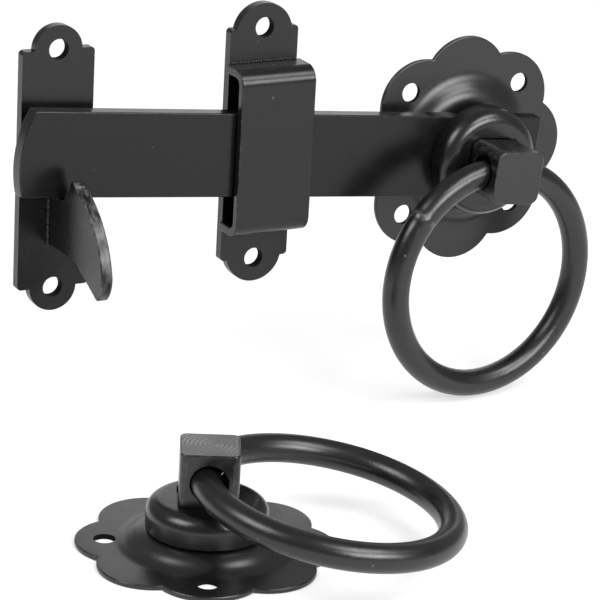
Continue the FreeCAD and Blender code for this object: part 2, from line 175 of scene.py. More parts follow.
class Shape:
    """One closed shape under construction, in millimetres in its piece's own frame."""

    CORNER = math.radians(35)
    UPRIGHT = 0.5
    WALL_REACH = 0.1

    def __init__(self, mesh: Optional[bmesh.types.BMesh] = None) -> None:
        """Start from a mesh, or from nothing."""
        self.mesh = mesh or bmesh.new()

    @classmethod
    def raised(cls, outline: Outline, height: float) -> "Shape":
        """Raise a closed outline.

        Args:
            outline: the path to close and raise.
            height: how far it is raised along Z.

        Returns:
            The solid shape.
        """
        shape = cls(outline.close())
        bmesh.ops.contextual_create(shape.mesh, geom=shape.mesh.edges[:])
        shape.thicken(height)
        return shape

    @classmethod
    def turned(cls, outline: Outline, steps: int = 128) -> "Shape":
        """Turn an outline of radius and height about the Z axis.

        Args:
            outline: the path to close and turn.
            steps: the number of steps round the axis.

        Returns:
            The solid shape.
        """
        shape = cls(outline.close())
        shape.move(AGAINST_GATE)
        shape.spin(steps)
        return shape

    @classmethod
    def rod(cls, radius: float, length: float, place: Matrix, steps: int = 64) -> "Shape":
        """Make a round rod centred on a place, along its Z axis.

        Args:
            radius: the rod's radius.
            length: the rod's length.
            place: where the rod's middle is.
            steps: the number of sides.

        Returns:
            The solid shape.
        """
        shape = cls()
        bmesh.ops.create_cone(shape.mesh, cap_ends=True, segments=steps, radius1=radius,
                              radius2=radius, depth=length, matrix=place)
        return shape

    @classmethod
    def block(cls, sides: Vector, centre: Vector) -> "Shape":
        """Make a rectangular block.

        Args:
            sides: its three sides.
            centre: where its middle is.

        Returns:
            The solid shape.
        """
        shape = cls()
        bmesh.ops.create_cube(shape.mesh, size=1, matrix=Matrix.LocRotScale(centre, None, sides))
        return shape

    def spin(self, steps: int) -> None:
        """Turn the edges of a path round the Z axis into a closed skin.

        Args:
            steps: the number of steps round the axis.
        """
        bmesh.ops.spin(self.mesh, geom=self.mesh.verts[:] + self.mesh.edges[:], cent=(0, 0, 0),
                       axis=(0, 0, 1), dvec=(0, 0, 0), angle=math.tau, steps=steps,
                       use_merge=True, use_duplicate=False)
        bmesh.ops.remove_doubles(self.mesh, verts=self.mesh.verts[:], dist=TOUCHING)
        bmesh.ops.recalc_face_normals(self.mesh, faces=self.mesh.faces[:])

    def thicken(self, height: float) -> None:
        """Extrude every face along Z into a closed solid.

        Args:
            height: how far the faces are extruded.
        """
        made = bmesh.ops.extrude_face_region(self.mesh, geom=self.mesh.faces[:])
        verts = [item for item in made["geom"] if isinstance(item, bmesh.types.BMVert)]
        bmesh.ops.translate(self.mesh, verts=verts, vec=(0, 0, height))
        bmesh.ops.recalc_face_normals(self.mesh, faces=self.mesh.faces[:])

    def move(self, place: Matrix) -> "Shape":
        """Move the whole shape.

        Args:
            place: the move.

        Returns:
            The shape itself.
        """
        bmesh.ops.transform(self.mesh, matrix=place, verts=self.mesh.verts[:])
        return self

    def soften(self, width: float, steps: int = 3, where: Optional[EdgeTest] = None) -> "Shape":
        """Round the sharp edges over, and mark the rounded faces as edges that wear.

        Args:
            width: how wide the rounding is.
            steps: the faces across the rounding.
            where: a test of the edges to round, or nothing for every sharp one.

        Returns:
            The shape itself.
        """
        layers = self.mesh.loops.layers.float
        worn = layers.get(EDGE_LAYER) or layers.new(EDGE_LAYER)
        sharp = [edge for edge in self.mesh.edges if edge.is_manifold
                 and edge.calc_face_angle(0) > self.CORNER and (where is None or where(edge))]
        made = bmesh.ops.bevel(self.mesh, geom=sharp, affect="EDGES", offset=width,
                               offset_type="OFFSET", segments=steps, profile=0.5, material=-1,
                               clamp_overlap=True)
        for face in made["faces"]:
            for loop in face.loops:
                loop[worn] = 1.0
        return self

    def rub(self, where: FaceTest, amount: float) -> "Shape":
        """Mark faces that other pieces rub against.

        Args:
            where: a test of the faces to mark.
            amount: how far they are worn, up to 1.

        Returns:
            The shape itself.
        """
        worn = self.mesh.loops.layers.float[EDGE_LAYER]
        self.mesh.normal_update()
        for face in filter(where, self.mesh.faces):
            for loop in face.loops:
                loop[worn] = max(loop[worn], amount)
        return self

    def paint(self, where: FaceTest, layer: Layer) -> "Shape":
        """Give faces another of the piece's finishes.

        Args:
            where: a test of the faces to paint.
            layer: the place of the finish in the piece's list.

        Returns:
            The shape itself.
        """
        self.mesh.normal_update()
        for face in filter(where, self.mesh.faces):
            face.material_index = layer.value
        return self

    def drill(self, spots: Sequence[Vector], radius: float, steps: int = 64) -> "Shape":
        """Drill holes along the Z axis.

        Args:
            spots: the middle of each hole.
            radius: the holes' radius.
            steps: the number of sides of each hole.

        Returns:
            The shape itself.
        """
        for spot in spots:
            self.cut(Shape.rod(radius, DRILL, Matrix.Translation(spot), steps))
        return self

    def paint_holes(self, spots: Sequence[Vector], radius: float) -> "Shape":
        """Give the walls of holes along the Z axis the finish of a bore.

        Args:
            spots: the middle of each hole.
            radius: the holes' radius.

        Returns:
            The shape itself.
        """
        def is_wall(face: bmesh.types.BMFace) -> bool:
            """Say whether a face is part of a hole's wall."""
            off = min((face.calc_center_median() - spot).xy.length for spot in spots)
            return abs(face.normal.z) < self.UPRIGHT and off < radius + self.WALL_REACH
        return self.paint(is_wall, Layer.BORE)

    def cut(self, other: "Shape") -> "Shape":
        """Cut another shape away from this one.

        Args:
            other: the other shape.

        Returns:
            The shape itself.
        """
        body, tool = self.as_object("body"), other.as_object("tool")
        change = body.modifiers.new("cut", "BOOLEAN")
        change.operation = "DIFFERENCE"
        change.solver = "EXACT"
        change.object = tool
        graph = bpy.context.evaluated_depsgraph_get()
        result = bpy.data.meshes.new_from_object(body.evaluated_get(graph))
        self.mesh.clear()
        self.mesh.from_mesh(result)
        for mesh in (body.data, tool.data, result):
            bpy.data.meshes.remove(mesh)
        return self

    def add(self, other: "Shape") -> "Shape":
        """Take another shape into the same piece.

        Args:
            other: the other shape.

        Returns:
            The shape itself.
        """
        mesh = bpy.data.meshes.new("part")
        other.mesh.to_mesh(mesh)
        self.mesh.from_mesh(mesh)
        bpy.data.meshes.remove(mesh)
        return self

    def as_object(self, name: str) -> bpy.types.Object:
        """Make a scene object of the shape.

        Args:
            name: the object's name.

        Returns:
            The new object.
        """
        mesh = bpy.data.meshes.new(name)
        self.mesh.to_mesh(mesh)
        made = bpy.data.objects.new(name, mesh)
        bpy.context.scene.collection.objects.link(made)
        return made


class Workshop:
    """Turns shapes into finished pieces of the scene."""

    CREASE = math.radians(48)

    @classmethod
    def finish(cls, name: str, shape: Shape, place: Matrix, finishes: Sequence[Material],
               node: Optional[str] = None, body: Body = Body.FIXED,
               slot: Slot = Slot.PLATE) -> None:
        """Put a shape in its place, dress it and let it ride on its body.

        Args:
            name: the piece's name.
            shape: the shape in millimetres.
            place: where the shape stands, in millimetres.
            finishes: the materials, in the order of the layers.
            node: the solid that the piece replaces, or nothing.
            body: the body that the piece rides on.
            slot: the finish that the record names for it; not used.
        """
        shape.move(Matrix.Scale(MM, 4) @ place)
        for face in shape.mesh.faces:
            face.smooth = True
        piece = shape.as_object(name)
        piece.data.set_sharp_from_angle(angle=cls.CREASE)
        for finish in finishes:
            piece.data.materials.append(finish)
        shading = piece.modifiers.new("even_shading", "WEIGHTED_NORMAL")
        shading.keep_sharp = True
        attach(piece, body.value)
        if node:
            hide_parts(node)
        LOG.info("%s: %d faces on %s", name, len(piece.data.polygons), body.value)

    @staticmethod
    def dress(node: str, finish: Material) -> None:
        """Give a solid of the frame a finish.

        Args:
            node: the solid's name.
            finish: its material.
        """
        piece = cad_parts[node]
        piece.data.materials.clear()
        piece.data.materials.append(finish)
        LOG.info("%s: dressed as it stands", node)


@dataclass(frozen=True)
class Grain:
    """A noise: its grains in a metre, its layers of finer grain and how strong they are."""

    scale: float
    detail: float
    roughness: float


class NodeKit:
    """Short ways to place and join shader nodes in one tree."""

    def __init__(self, tree: bpy.types.NodeTree) -> None:
        """Work in a tree."""
        self.tree = tree

    def feed(self, node: bpy.types.Node, inputs: Inputs) -> None:
        """Fill inputs of a node.

        Args:
            node: the node.
            inputs: a socket to join or a value to set, by each input's name or number.
        """
        for title, value in inputs.items():
            if isinstance(value, Socket):
                self.tree.links.new(value, node.inputs[title])
            else:
                node.inputs[title].default_value = value

    def node(self, kind: str, inputs: Optional[Inputs] = None) -> bpy.types.Node:
        """Place a node.

        Args:
            kind: the kind of node.
            inputs: the inputs to fill, if any.

        Returns:
            The node.
        """
        made = self.tree.nodes.new(kind)
        self.feed(made, inputs or {})
        return made

    def group(self, tree: bpy.types.NodeTree, inputs: Inputs) -> bpy.types.Node:
        """Place a node group.

        Args:
            tree: the group.
            inputs: the inputs to fill.

        Returns:
            The group's node.
        """
        made = self.node("ShaderNodeGroup")
        made.node_tree = tree
        self.feed(made, inputs)
        return made

    def spot(self) -> Socket:
        """Place the coordinates of a piece's own frame."""
        return self.node("ShaderNodeTexCoord").outputs["Object"]

    def noise(self, spot: Socket, grain: Grain) -> Socket:
        """Place a noise texture.

        Args:
            spot: the place on the surface.
            grain: the noise's grain.

        Returns:
            The noise's value.
        """
        made = self.node("ShaderNodeTexNoise", {
            "Vector": spot, "Scale": grain.scale, "Detail": grain.detail,
            "Roughness": grain.roughness})
        return made.outputs["Fac"]

    def math(self, kind: str, *terms: Socket | float, clamp: bool = False) -> Socket:
        """Place a sum.

        Args:
            kind: the kind of sum.
            terms: its terms, sockets or numbers.
            clamp: whether the result is kept between 0 and 1.

        Returns:
            The result.
        """
        made = self.node("ShaderNodeMath", dict(enumerate(terms)))
        made.operation = kind
        made.use_clamp = clamp
        return made.outputs["Value"]

    def ramp(self, value: Socket, low: float, high: float) -> Socket:
        """Spread the part of a value between two levels over 0 to 1.

        Args:
            value: the value.
            low: the level that becomes 0.
            high: the level that becomes 1.

        Returns:
            The spread value.
        """
        levels = {"Value": value, "From Min": low, "From Max": high}
        made = self.node("ShaderNodeMapRange", levels)
        made.interpolation_type = "SMOOTHSTEP"
        return made.outputs["Result"]

    def mix(self, share: Socket, first: Socket, second: Socket) -> Socket:
        """Mix two colours.

        Args:
            share: how much of the second colour shows.
            first: the first colour.
            second: the second colour.

        Returns:
            The mixed colour.
        """
        made = self.node("ShaderNodeMix", {"Factor": share})
        made.data_type = "RGBA"
        places = [place for place, item in enumerate(made.inputs) if item.type == "RGBA"]
        self.feed(made, dict(zip(places, (first, second))))
        return next(item for item in made.outputs if item.type == "RGBA")


class Effects:
    """Shader node groups that the finishes share."""

    CLOUD = Grain(90, 4, 0.6)
    PATCH = Grain(420, 5, 0.65)
    FINE = Grain(2600, 2, 0.5)
    MEAN = 0.5
    RUBBED = (0.42, 0.62)
    SPECK_CELLS = 330
    SPECK_RIM = (0.13, 0.05)
    SPECK_RARITY = 0.955
    TONE_ROUGH = 0.35
    PATCH_ROUGH = 0.12
    SPECK_ROUGH = 0.2
    FINE_HEIGHT = 0.5
    PEEL_DEPTH = 0.00006

    def __init__(self) -> None:
        """Build each group once."""
        self.coat = self._coat()
        self.facing = self._facing()

    @staticmethod
    def _start(name: str, inputs: Iterable[tuple[str, str]], outputs: Iterable[tuple[str, str]]
               ) -> tuple[bpy.types.ShaderNodeTree, bpy.types.Node, bpy.types.Node]:
        """Start a group.

        Args:
            name: the group's name.
            inputs: the name and kind of each input.
            outputs: the name and kind of each output.

        Returns:
            The group, its input node and its output node.
        """
        tree = bpy.data.node_groups.new(name, "ShaderNodeTree")
        for side, sockets in (("INPUT", inputs), ("OUTPUT", outputs)):
            for title, kind in sockets:
                tree.interface.new_socket(name=title, in_out=side, socket_type=f"NodeSocket{kind}")
        return tree, tree.nodes.new("NodeGroupInput"), tree.nodes.new("NodeGroupOutput")

    def _coat(self) -> bpy.types.ShaderNodeTree:
        """Build the satin coat: uneven tone, fine peel, dust specks and rubbed edges.

        Returns:
            The group.
        """
        tree, source, result = self._start(
            "satin_coat",
            (("Tint", "Color"), ("Rubbed", "Color"), ("Roughness", "Float"), ("Mottle", "Float"),
             ("Peel", "Float"), ("Wear", "Float"), ("Dust", "Float"), ("Stretch", "Vector")),
            (("Color", "Color"), ("Roughness", "Float"), ("Normal", "Vector")))
        kit, given = NodeKit(tree), source.outputs
        spot = kit.spot()
        cloud = kit.noise(spot, self.CLOUD)
        drawn = kit.node("ShaderNodeVectorMath", {0: spot, 1: given["Stretch"]})
        drawn.operation = "MULTIPLY"
        patch = kit.noise(drawn.outputs["Vector"], self.PATCH)
        fine = kit.noise(spot, self.FINE)
        edge = kit.node("ShaderNodeAttribute")
        edge.attribute_name = EDGE_LAYER
        rubbed = kit.math("MULTIPLY", kit.ramp(patch, *self.RUBBED), edge.outputs["Fac"])
        rubbed = kit.math("MULTIPLY", rubbed, given["Wear"])
        cells = kit.node("ShaderNodeTexVoronoi", {"Vector": spot, "Scale": self.SPECK_CELLS})
        chosen = kit.node("ShaderNodeSeparateColor", {"Color": cells.outputs["Color"]})
        speck = kit.math("MULTIPLY", kit.ramp(cells.outputs["Distance"], *self.SPECK_RIM),
                         kit.math("GREATER_THAN", chosen.outputs["Red"], self.SPECK_RARITY))
        speck = kit.math("MULTIPLY", speck, given["Dust"])
        tone = kit.math("MULTIPLY", kit.math("SUBTRACT", cloud, self.MEAN), given["Mottle"])
        shade = kit.node("ShaderNodeHueSaturation",
                         {"Color": given["Tint"], "Value": kit.math("ADD", tone, 1.0)})
        bare = kit.math("MAXIMUM", rubbed, speck)
        rough = kit.math("MULTIPLY", tone, self.TONE_ROUGH)
        rough = kit.math("ADD", given["Roughness"], rough)
        grit = kit.math("MULTIPLY", kit.math("SUBTRACT", patch, self.MEAN), self.PATCH_ROUGH)
        rough = kit.math("ADD", rough, grit)
        dull = kit.math("MULTIPLY", speck, self.SPECK_ROUGH)
        height = kit.math("ADD", kit.math("MULTIPLY", fine, self.FINE_HEIGHT), patch)
        height = kit.math("ADD", height, speck)
        bump = kit.node("ShaderNodeBump", {
            "Strength": given["Peel"], "Distance": self.PEEL_DEPTH, "Height": height})
        kit.feed(result, {
            "Color": kit.mix(bare, shade.outputs["Color"], given["Rubbed"]),
            "Roughness": kit.math("ADD", rough, dull, clamp=True),
            "Normal": bump.outputs["Normal"]})
        return tree

    def _facing(self) -> bpy.types.ShaderNodeTree:
        """Build the rings that a facing tool leaves, round the Z axis of the vector given.

        Returns:
            The group.
        """
        tree, source, result = self._start(
            "facing_rings", (("Vector", "Vector"), ("Pitch", "Float")), (("Height", "Float"),))
        kit = NodeKit(tree)
        wave = kit.node("ShaderNodeTexWave", {
            "Vector": source.outputs["Vector"], "Scale": source.outputs["Pitch"],
            "Distortion": 2.2, "Detail": 2.0, "Detail Scale": 0.6})
        wave.wave_type = "RINGS"
        wave.rings_direction = "Z"
        wave.wave_profile = "SIN"
        kit.feed(result, {"Height": wave.outputs["Fac"]})
        return tree


@dataclass(frozen=True)
class Coat:
    """A black coat on steel."""

    name: str
    tint: Triple
    roughness: float
    rubbed: Triple = (0.13, 0.13, 0.13)
    mottle: float = 0.5
    peel: float = 0.25
    wear: float = 0.18
    dust: float = 0.6
    gloss: float = 0.45
    stretch: Triple = (1, 1, 1)

    def make(self, effects: Effects) -> Material:
        """Build the material.

        Args:
            effects: the shared node groups.

        Returns:
            The material.
        """
        material = bpy.data.materials.new(self.name)
        material.use_nodes = True
        kit = NodeKit(material.node_tree)
        coat = kit.group(effects.coat, {
            "Tint": (*self.tint, 1), "Rubbed": (*self.rubbed, 1), "Roughness": self.roughness,
            "Mottle": self.mottle, "Peel": self.peel, "Wear": self.wear, "Dust": self.dust,
            "Stretch": self.stretch}).outputs
        kit.feed(material.node_tree.nodes["Principled BSDF"], {
            "Specular IOR Level": self.gloss, "Base Color": coat["Color"],
            "Roughness": coat["Roughness"], "Normal": coat["Normal"]})
        return material


@dataclass(frozen=True)
class FacedCoat:
    """The same coat over an end that a facing tool has left rings on."""

    coat: Coat
    centre: Vector
    axis_turn: Triple
    pitch: float = 262
    depth: float = 0.00012
    strength: float = 0.8

    def make(self, effects: Effects) -> Material:
        """Build the material.

        Args:
            effects: the shared node groups.

        Returns:
            The material.
        """
        material = self.coat.make(effects)
        kit = NodeKit(material.node_tree)
        surface = material.node_tree.nodes["Principled BSDF"]
        turned = kit.node("ShaderNodeMapping", {
            "Vector": kit.spot(), "Location": self.centre, "Rotation": self.axis_turn})
        turned.vector_type = "TEXTURE"
        rings = kit.group(effects.facing, {
            "Vector": turned.outputs["Vector"], "Pitch": self.pitch})
        bump = kit.node("ShaderNodeBump", {
            "Strength": self.strength, "Distance": self.depth, "Height": rings.outputs["Height"],
            "Normal": surface.inputs["Normal"].links[0].from_socket})
        kit.feed(surface, {"Normal": bump.outputs["Normal"]})
        return material


@dataclass
class Finishes:
    """The finishes of the latch, each built once."""

    plate: Material
    rose: Material
    bar: Material
    handle: Material
    ring: Material
    weld: Material
    hook: Material
    bore: Material

    @classmethod
    def make(cls, effects: Effects) -> "Finishes":
        """Build every finish.

        Args:
            effects: the shared node groups.

        Returns:
            The finishes.
        """
        cool, deep = (0.006, 0.006, 0.0063), (0.005, 0.005, 0.0053)
        deepest, plain = (0.0045, 0.0045, 0.0048), (0.006, 0.006, 0.006)
        coats = (
            Coat("plate_coat", cool, roughness=0.26, peel=0.07, dust=1.0, gloss=0.41),
            Coat("rose_coat", cool, roughness=0.31, peel=0.12, gloss=0.62),
            Coat("bar_coat", deep, roughness=0.24, mottle=0.35, wear=0.12, gloss=0.33),
            Coat("handle_coat", deep, roughness=0.26, peel=0.25, gloss=0.58),
            Coat("ring_coat", deepest, roughness=0.3, peel=0.6, dust=1.0, wear=0.6, gloss=0.62),
            Coat("weld_coat", plain, roughness=0.28, wear=0.9, peel=0.7),
            Coat("hook_coat", cool, roughness=0.28, wear=0.8, peel=0.4, gloss=0.4,
                 stretch=(2.2, 1.0, 0.35)),
            Coat("bore_coat", plain, roughness=0.8, wear=0.0, dust=0.0, gloss=0.1))
        return cls(**{coat.name.removesuffix("_coat"): coat.make(effects) for coat in coats})


@dataclass
class ScrewPlate:
    """A flat plate with an arch over the screw hole at each end."""

    width: float = 22.0
    thickness: float = 3.0
    spacing: float = 70.0
    hole: float = 6.0
    corner: float = 1.2
    arch: float = 7.2
    inset: float = 0.2

    def shape(self) -> Shape:
        """Draw the plate's outline, raise it and drill its screw holes.

        Returns:
            The plate, with its back on the gate's face.
        """
        side, end = self.width / 2, self.spacing / 2
        near = math.sqrt(self.arch**2 - self.inset**2)
        sweep = 180 - 2 * math.degrees(math.asin(self.inset / self.arch))
        flat, low = side - self.corner, end - self.corner
        path = Outline(side, -low).to(side, low).turn(flat, low, 90)
        path.to(near, end).turn(0, end - self.inset, sweep).to(-flat, end).turn(-flat, low, 90)
        path.to(-side, -low).turn(-flat, -low, 90)
        path.to(-near, -end).turn(0, self.inset - end, sweep).to(flat, -end).turn(flat, -low, 90)
        plate = Shape.raised(path, self.thickness)
        spots = (Vector((0, end, 0)), Vector((0, -end, 0)))
        return plate.drill(spots, self.hole / 2).paint_holes(spots, self.hole / 2)


@dataclass
class WeldBead:
    """A run of small weld beads along a corner."""

    start: Vector
    end: Vector
    radius: float = 0.7
    step: float = 0.85
    swell: float = 0.22
    swell_rate: float = 2.4
    ripple: float = 0.1
    ripple_rate: float = 5.1

    def shape(self) -> Shape:
        """Lay the beads in a row, each a little different from the last.

        Returns:
            The beads.
        """
        run = self.end - self.start
        count = max(2, round(run.length / self.step))
        beads = Shape()
        for number in range(count + 1):
            size = 1 + self.swell * math.sin(number * self.swell_rate)
            size += self.ripple * math.sin(number * self.ripple_rate)
            centre = self.start + run * (number / count)
            bmesh.ops.create_uvsphere(beads.mesh, u_segments=12, v_segments=8,
                                      radius=self.radius * size,
                                      matrix=Matrix.Translation(centre))
        return beads


@dataclass
class Keep:
    """The keep on the gate post: a screw plate with a hook welded to it."""

    OUTWARD = 0.2
    SIDEWAYS = 0.5
    finishes: Finishes
    place: Vector
    hook_thickness: float = 3.5
    toe_drop: float = 28.4
    root_rise: float = 6.2
    knee: Pair = (6.8, 18.0)
    toe_reach: float = 32.8
    toe_radius: float = 9.0
    front: Pair = (7.4, 36.0)
    ramp_radius: float = 29.0
    nose: Pair = (28.2, 17.6)
    nose_inner: Pair = (27.0, 12.8)
    nose_radius: float = 2.6
    notch: Pair = (21.89, 8.7)
    edge: float = 0.55
    rubbed: float = 0.75
    weld_inset: float = 0.4
    weld_out: float = 0.15
    weld_lift: float = 0.1

    def build(self) -> None:
        """Make the plate, the hook and the weld between them."""
        stand = Matrix.Translation(self.place) @ AGAINST_GATE
        plate, coats = ScrewPlate(), self.finishes
        Workshop.finish("keep_plate_piece", plate.shape(), stand, [coats.plate, coats.bore],
                        "keep_plate")
        Workshop.finish("keep_hook_piece", self.hook(plate.thickness), stand, [coats.hook],
                        "keep_hook")
        Workshop.finish("keep_weld", self.weld(plate.thickness), stand, [coats.weld])

    def hook(self, base: float) -> Shape:
        """Draw the hook from its side and give it its thickness.

        Args:
            base: the plate's thickness.

        Returns:
            The hook.
        """
        path = Outline(self.notch[0], 0).to(self.root_rise, 0).to(*self.knee)
        path.to(0, self.toe_reach)
        path.arc_to(*self.front, -self.toe_radius).arc_to(*self.nose, -self.ramp_radius)
        path.arc_to(*self.nose_inner, -self.nose_radius).to(*self.notch)
        hook = Shape.raised(path, self.hook_thickness)
        hook.move(Matrix.Translation((-self.toe_drop, base, -self.hook_thickness / 2)))
        hook.move(ON_ITS_SIDE).soften(self.edge)
        return hook.rub(self.meets_bar, self.rubbed)

    def meets_bar(self, face: bmesh.types.BMFace) -> bool:
        """Say whether the bar rides over a face of the hook."""
        return face.normal.z > self.OUTWARD and abs(face.normal.x) < self.SIDEWAYS

    def weld(self, base: float) -> Shape:
        """Lay a bead down each side of the hook's root.

        Args:
            base: the plate's thickness.

        Returns:
            The two beads.
        """
        beads = Shape()
        low = self.root_rise - self.toe_drop + self.weld_inset
        high = self.notch[0] - self.toe_drop - self.weld_inset
        height = base + self.weld_lift
        for side in (-1, 1):
            across = side * (self.hook_thickness / 2 + self.weld_out)
            ends = Vector((across, low, height)), Vector((across, high, height))
            beads.add(WeldBead(*ends).shape())
        return beads


@dataclass
class Staple:
    """The staple on the gate: a screw plate with a bridge for the bar welded to it."""

    finishes: Finishes
    place: Vector
    width: float = 24.0
    strip: float = 2.5
    bend: float = 2.2
    opening: float = 45.0
    inside: float = 11.3
    edge: float = 0.4
    weld_radius: float = 0.6
    weld_inset: float = 1.0
    weld_out: float = 0.1

    def build(self) -> None:
        """Make the plate, the bridge and the welds between them."""
        stand = Matrix.Translation(self.place) @ AGAINST_GATE
        plate, coats = ScrewPlate(arch=9.0, inset=1.8), self.finishes
        Workshop.finish("staple_plate_piece", plate.shape(), stand, [coats.plate, coats.bore],
                        "staple_plate")
        Workshop.finish("staple_bridge_piece", self.bridge(plate.thickness), stand, [coats.plate],
                        "staple_bridge")
        Workshop.finish("staple_weld", self.weld(plate), stand, [coats.weld])

    def bridge(self, base: float) -> Shape:
        """Draw the folded strip from its side and give it its width.

        Args:
            base: the plate's thickness.

        Returns:
            The bridge.
        """
        inner, outer = self.opening / 2, self.opening / 2 + self.strip
        top, hub = self.inside + self.strip, self.inside - self.bend
        run = inner - self.bend
        path = Outline(-outer, base).to(-inner, base).to(-inner, hub).turn(-run, hub, -90)
        path.to(run, self.inside).turn(run, hub, -90).to(inner, base).to(outer, base).to(outer, hub)
        path.turn(run, hub, 90).to(-run, top).turn(-run, hub, 90)
        bridge = Shape.raised(path, self.width)
        bridge.move(ON_ITS_SIDE @ Matrix.Translation((0, 0, -self.width / 2)))
        return bridge.soften(self.edge)

    def weld(self, plate: ScrewPlate) -> Shape:
        """Lay a bead along the outside of each of the bridge's feet.

        Args:
            plate: the plate that the bridge stands on.

        Returns:
            The two beads.
        """
        beads = Shape()
        reach = plate.width / 2 - self.weld_inset
        foot = self.opening / 2 + self.strip + self.weld_out
        for side in (-1, 1):
            ends = [Vector((end * reach, side * foot, plate.thickness)) for end in (-1, 1)]
            beads.add(WeldBead(*ends, radius=self.weld_radius).shape())
        return beads


@dataclass
class Rose:
    """A lobed rose with a domed middle."""

    finishes: Finishes
    name: str
    place: Matrix
    lobes: int = 8
    lobe_radius: float = 14.2
    lobe_circle: float = 20.8
    thickness: float = 1.5
    rise: float = 4.0
    foot: float = 25.0
    crown: float = 15.0
    spindle: float = 7.1
    flat: Pair = (27.0, 29.0)
    blank: float = 30.0
    lobe_steps: int = 32
    screws: int = 4
    screw_circle: float = 54.0
    hole: float = 6.0
    hole_steps: int = 48
    edge: float = 0.45

    def build(self) -> None:
        """Make the rose and put it in its place."""
        coats = [self.finishes.rose, self.finishes.bore]
        Workshop.finish(f"{self.name}_piece", self.shape(), self.place, coats, self.name)

    def reach(self, angle: float) -> float:
        """Give the rose's edge at an angle.

        Args:
            angle: the angle round the rose, in radians.

        Returns:
            The distance from the middle to the edge.
        """
        sector = math.tau / self.lobes
        off = (angle + sector / 2) % sector - sector / 2
        across = self.lobe_circle * math.sin(off)
        return self.lobe_circle * math.cos(off) + math.sqrt(self.lobe_radius**2 - across**2)

    def shape(self) -> Shape:
        """Turn the dome, press its edge into lobes, give it the sheet's thickness and pierce it.

        Returns:
            The rose, with its back on the gate's face.
        """
        top, mid = self.thickness + self.rise, (self.foot + self.crown) / 2
        sweep = ((self.foot - self.crown) ** 2 + self.rise**2) / (4 * self.rise)
        path = Outline(self.spindle, top).to(self.crown, top)
        path.arc_to(mid, self.thickness + self.rise / 2, -sweep)
        path.arc_to(self.foot, self.thickness, sweep)
        for radius in (*self.flat, self.blank):
            path.to(radius, self.thickness)
        rose = Shape(path.mesh)
        rose.move(AGAINST_GATE)
        rose.spin(self.lobe_steps * self.lobes)
        for vert in rose.mesh.verts:
            if vert.co.xy.length > (self.flat[-1] + self.blank) / 2:
                angle = math.atan2(vert.co.y, vert.co.x)
                vert.co.xy = Vector((math.cos(angle), math.sin(angle))) * self.reach(angle)
        rose.thicken(-self.thickness)
        rose.soften(self.edge)
        out, turn = Vector((self.screw_circle / 2, 0, 0)), math.tau / self.screws
        spots = [Matrix.Rotation(turn * (number + 0.5), 4, "Z") @ out
                 for number in range(self.screws)]
        rose.drill(spots, self.hole / 2, self.hole_steps)
        return rose.paint_holes(spots, self.hole / 2)


@dataclass
class LatchBar:
    """The flat bar that the latch handle lifts."""

    finishes: Finishes
    place: Matrix
    height: float = 25.0
    thickness: float = 5.0
    back: float = 5.8
    tip_top: float = 147.3
    tip_bottom: float = 148.8
    tip_radius: float = 36.0
    tail: float = 21.0
    edge: float = 0.4

    def build(self) -> None:
        """Make the bar and put it in its place."""
        half = self.height / 2
        path = Outline(-self.tip_bottom, -half).to(self.tail, -half).to(self.tail, half)
        path.to(-self.tip_top, half).arc_to(-self.tip_bottom, -half, self.tip_radius)
        bar = Shape.raised(path, self.thickness).move(Matrix.Translation((0, 0, self.back)))
        Workshop.finish("latch_bar_piece", bar.soften(self.edge), self.place, [self.finishes.bar],
                        "latch_bar", Body.LATCH, Slot.BAR)


